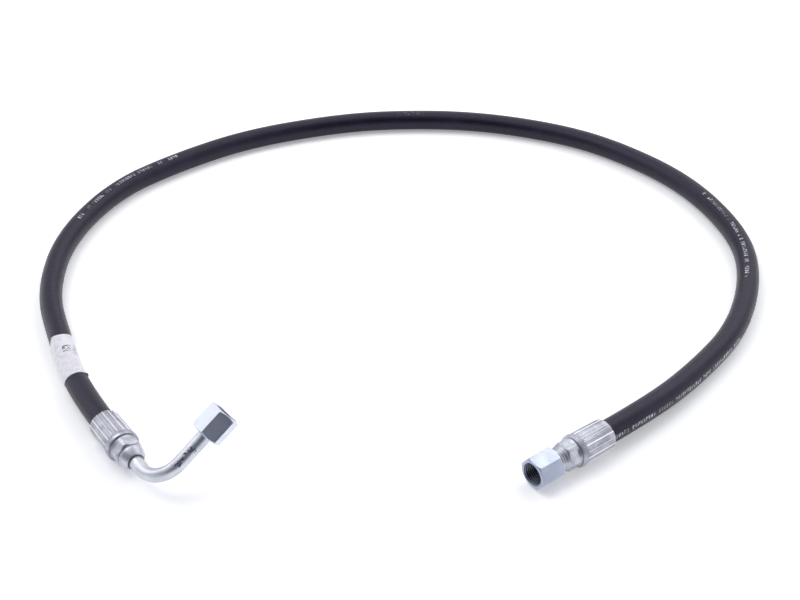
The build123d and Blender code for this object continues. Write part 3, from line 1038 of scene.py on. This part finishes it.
straight_ferrule = dress(
    make_ferrule("straight_ferrule_crimped", straight_end, 0.5, 11),
    ROOT, "ferrule_zinc", ferrule_zinc, "straight_ferrule",
)
straight_stem = dress(
    make_straight_stem("straight_stem_turned", straight_end),
    ROOT, "stem_zinc", stem_zinc, "straight_stem",
)
straight_nut = dress(
    make_nut("straight_nut_threaded", straight_nut_frame, STRAIGHT_NUT_ROLL),
    "straight_nut", "nut_zinc", straight_nut_painted_shade_zinc, "straight_swivel_nut",
)
dress(
    make_ferrule("elbow_ferrule_crimped", elbow_end, 13.5, 5),
    ROOT, "ferrule_zinc", ferrule_zinc, "elbow_ferrule",
)
dress(
    make_elbow_stem("elbow_stem_turned", elbow_end),
    ROOT, "stem_zinc", stem_zinc, "elbow_stem",
)
tube_sweep = Sweep(bent_line(), elbow_end.z)
dress(
    make_tube("elbow_tube_bent", tube_sweep),
    ROOT, "tube_zinc", tube_zinc, "elbow_tube",
)
dress(
    make_nut("elbow_nut_threaded", elbow_nut_frame, ELBOW_NUT_ROLL),
    "elbow_nut", "nut_zinc", elbow_nut_zinc, "elbow_swivel_nut",
)

# Pen strokes on the tube: start, end and width in millimetres, from a point just past the bend
MARK_START = BEND_START - TUBE_START + BEND_R * pi / 2 + 1.2
MARK_TURN = radians(-46)
MARK_SPREAD = 1.5
STROKES = [
    ((-4.7, -1.8), (-3.0, -1.7), 0.9),
    ((-3.6, -1.5), (-1.6, -0.9), 1.0),
    ((-2.6, -1.0), (0.6, -1.2), 0.9),
    ((0.2, -1.5), (1.4, -0.9), 0.6),
    ((1.2, -1.0), (3.4, -1.0), 0.7),
    ((-1.2, -2.6), (-0.8, -1.2), 0.35),
    ((-2.9, 1.3), (-1.6, 0.7), 0.9),
    ((-2.0, 0.8), (-0.1, 0.6), 0.6),
    ((-5.9, -3.4), (-5.2, -2.9), 0.4),
    ((1.9, -0.8), (2.3, 0.4), 0.3),
    ((5.5, -2.6), (6.4, -1.1), 0.8),
    ((4.4, -2.8), (5.8, -2.3), 0.35),
    ((7.6, -0.9), (9.4, -0.5), 1.0),
    ((8.8, -0.6), (11.4, 0.9), 1.0),
    ((11.0, 0.7), (13.2, 1.0), 0.5),
    ((8.6, -2.4), (9.1, -0.8), 0.4),
    ((11.5, -2.3), (10.9, -0.6), 0.8),
    ((10.4, -0.9), (10.5, 0.5), 0.5),
    ((11.3, 2.0), (12.2, 2.4), 0.8),
    ((9.9, 2.5), (10.7, 2.6), 0.35),
]


def stroke_end(point):
    """Distance and turn on the tube, from millimetres past the bend and across it."""
    return MARK_START + point[0], MARK_TURN - point[1] / TUBE_R


strokes = [
    (stroke_end(start), stroke_end(end), MARK_SPREAD * width) for start, end, width in STROKES
]
dress(make_marks("tube_pen_marks", tube_sweep, strokes), ROOT, "label_film", pen_ink())

for node, material in (
    ("elbow_seat", stem_zinc),
    ("straight_lock_wire", wire_steel),
    ("elbow_lock_wire", wire_steel),
    ("elbow_socket_braze", braze),
    ("elbow_seat_braze", braze),
):
    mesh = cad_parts[node].data
    mesh.materials.clear()
    mesh.materials.append(material)

mouth = elbow_end.place(FERRULE_MOUTH, 0, 0) * MM


# ---------------------------------------------------------------- studio
FLOOR_REACH = 4.0
# Name, place, aim, size and watts
SOFTBOXES = (
    ("key", (-0.9, 0.3, 1.7), (0, 0, 0), (1.4, 1.4), 14),
    ("fill", (1.3, 0.9, 1.3), (0, 0, 0), (1.2, 1.2), 7),
    ("side", (-1.75, 0.5, 0.65), (-0.1, -0.2, 0.04), (0.9, 0.7), 3),
    ("right", (1.6, -0.6, 0.7), (0.1, -0.22, 0.02), (0.8, 0.8), 3),
    ("top", (0.57, 0.8, 1.55), (0.1, -0.25, 0.02), (0.8, 0.8), 4),
    ("back", (0.1, 1.9, 0.95), (-0.1, -0.2, 0.02), (1.4, 0.6), 4),
)


def make_floor():
    mesh = bpy.data.meshes.new("floor")
    corners = ((-1, -1), (1, -1), (1, 1), (-1, 1))
    mesh.from_pydata([(FLOOR_REACH * x, FLOOR_REACH * y, 0) for x, y in corners], [], [(0, 1, 2, 3)])
    mesh.materials.append(studio_floor())
    floor = bpy.data.objects.new("floor", mesh)
    bpy.context.scene.collection.objects.link(floor)


def make_softbox(name, place, aim, size, power):
    """Rectangular lamp that faces its aim."""
    data = bpy.data.lights.new(name, "AREA")
    data.shape = "RECTANGLE"
    data.size, data.size_y = size
    data.energy = power
    light = bpy.data.objects.new(name, data)
    light.location = place
    light.rotation_euler = (Vector(aim) - Vector(place)).to_track_quat("-Z", "Y").to_euler()
    bpy.context.scene.collection.objects.link(light)


def make_world():
    """White studio with a dim patch behind the camera's side, as a dark room gives."""
    world = bpy.data.worlds.new("studio")
    world.use_nodes = True
    tree = world.node_tree
    tree.nodes.clear()
    place = tree.nodes.new("ShaderNodeTexCoord")
    dot = tree.nodes.new("ShaderNodeVectorMath")
    dot.operation = "DOT_PRODUCT"
    dot.inputs[1].default_value = Vector((0.12, -0.95, 0.28)).normalized()
    tree.links.new(place.outputs["Generated"], dot.inputs[0])
    ramp = tree.nodes.new("ShaderNodeValToRGB")
    ramp.color_ramp.interpolation = "EASE"
    low, high = ramp.color_ramp.elements
    low.position, low.color = 0.45, (0.92, 0.95, 1.0, 1)
    high.position, high.color = 0.82, (0.055, 0.075, 0.14, 1)
    tree.links.new(dot.outputs["Value"], ramp.inputs[0])
    background = tree.nodes.new("ShaderNodeBackground")
    tree.links.new(ramp.outputs[0], background.inputs[0])
    background.inputs[1].default_value = 0.6
    output = tree.nodes.new("ShaderNodeOutputWorld")
    tree.links.new(background.outputs[0], output.inputs[0])
    bpy.context.scene.world = world


make_floor()
make_world()
for softbox in SOFTBOXES:
    make_softbox(*softbox)
bpy.context.scene.view_settings.view_transform = "Standard"
